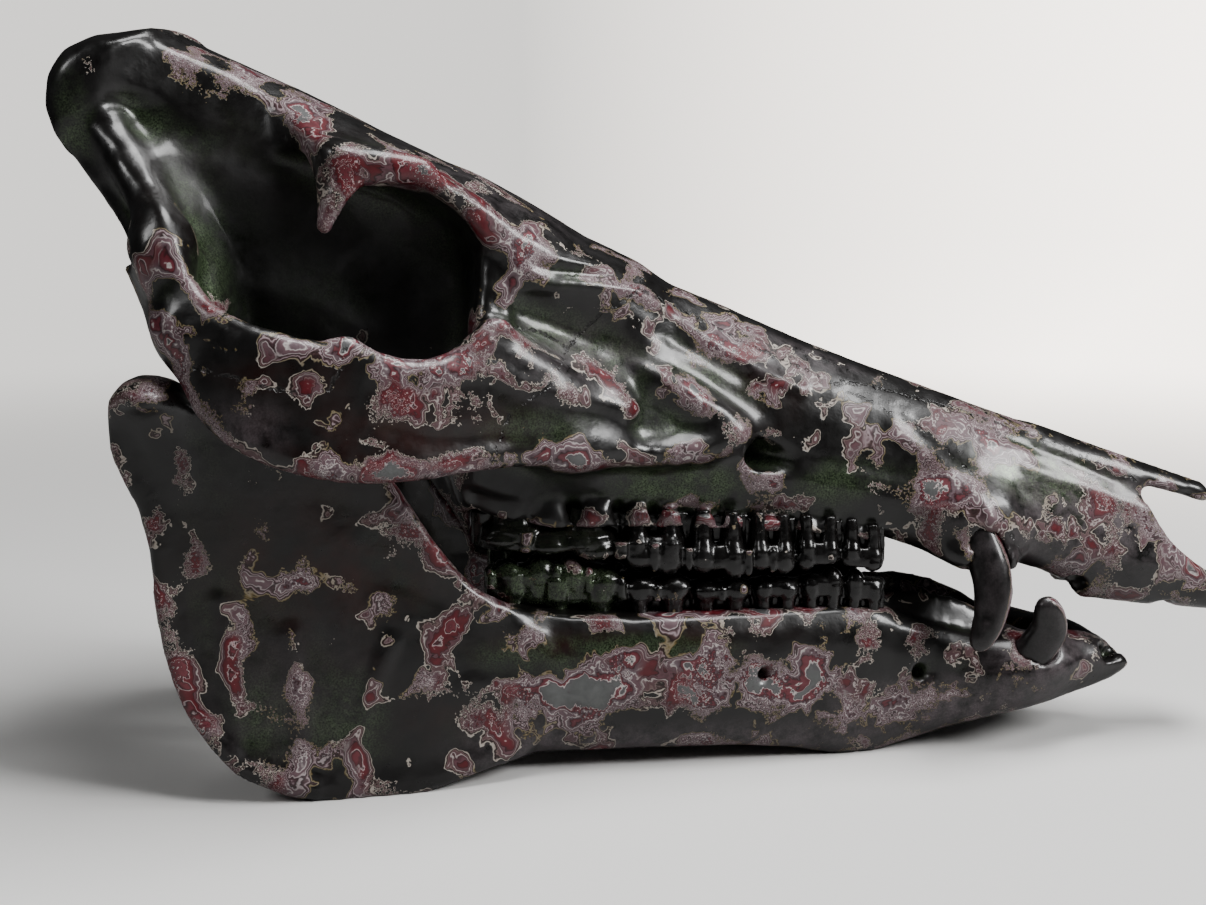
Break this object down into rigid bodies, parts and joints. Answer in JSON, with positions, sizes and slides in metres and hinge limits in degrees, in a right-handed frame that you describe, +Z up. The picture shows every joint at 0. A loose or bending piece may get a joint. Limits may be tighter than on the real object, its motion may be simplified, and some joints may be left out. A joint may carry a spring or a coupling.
{
  "type": "pig skull",
  "caption": "Pig skull with its lower jaw, life size, resting on the jaw, finished in polished layered lacquer.",
  "frame": {"origin": "under the middle of the skull's bounding box, at the level its jaw rests on", "axes": "+X forward to the snout, +Y to the animal's left, +Z up"},
  "size_m": [0.3554, 0.1486, 0.2162],
  "materials": {
    "lacquered_bone": "polished layered lacquer over bone, near black with red, pink, silver and green layers rubbed through",
    "lacquered_bone_red": "polished layered lacquer over bone, dark brown-red with crimson, pink and white layers rubbed through",
    "lacquered_tusk": "satin dark grey lacquer over the tusks"
  },
  "bodies": {
    "root": {"braincase": "lacquered_bone", "cheekbone_left": "lacquered_bone_red", "cheekbone_right": "lacquered_bone_red", "nasal_bone_left": "lacquered_bone", "nasal_bone_right": "lacquered_bone", "premaxilla_left": "lacquered_bone", "premaxilla_right": "lacquered_bone", "maxilla_left": "lacquered_bone", "maxilla_right": "lacquered_bone", "mandible_left": "lacquered_bone_red", "mandible_right": "lacquered_bone_red", "upper_canine_right": "lacquered_tusk", "lower_canine_left": "lacquered_tusk", "lower_canine_right": "lacquered_tusk"}
  },
  "joints": []
}
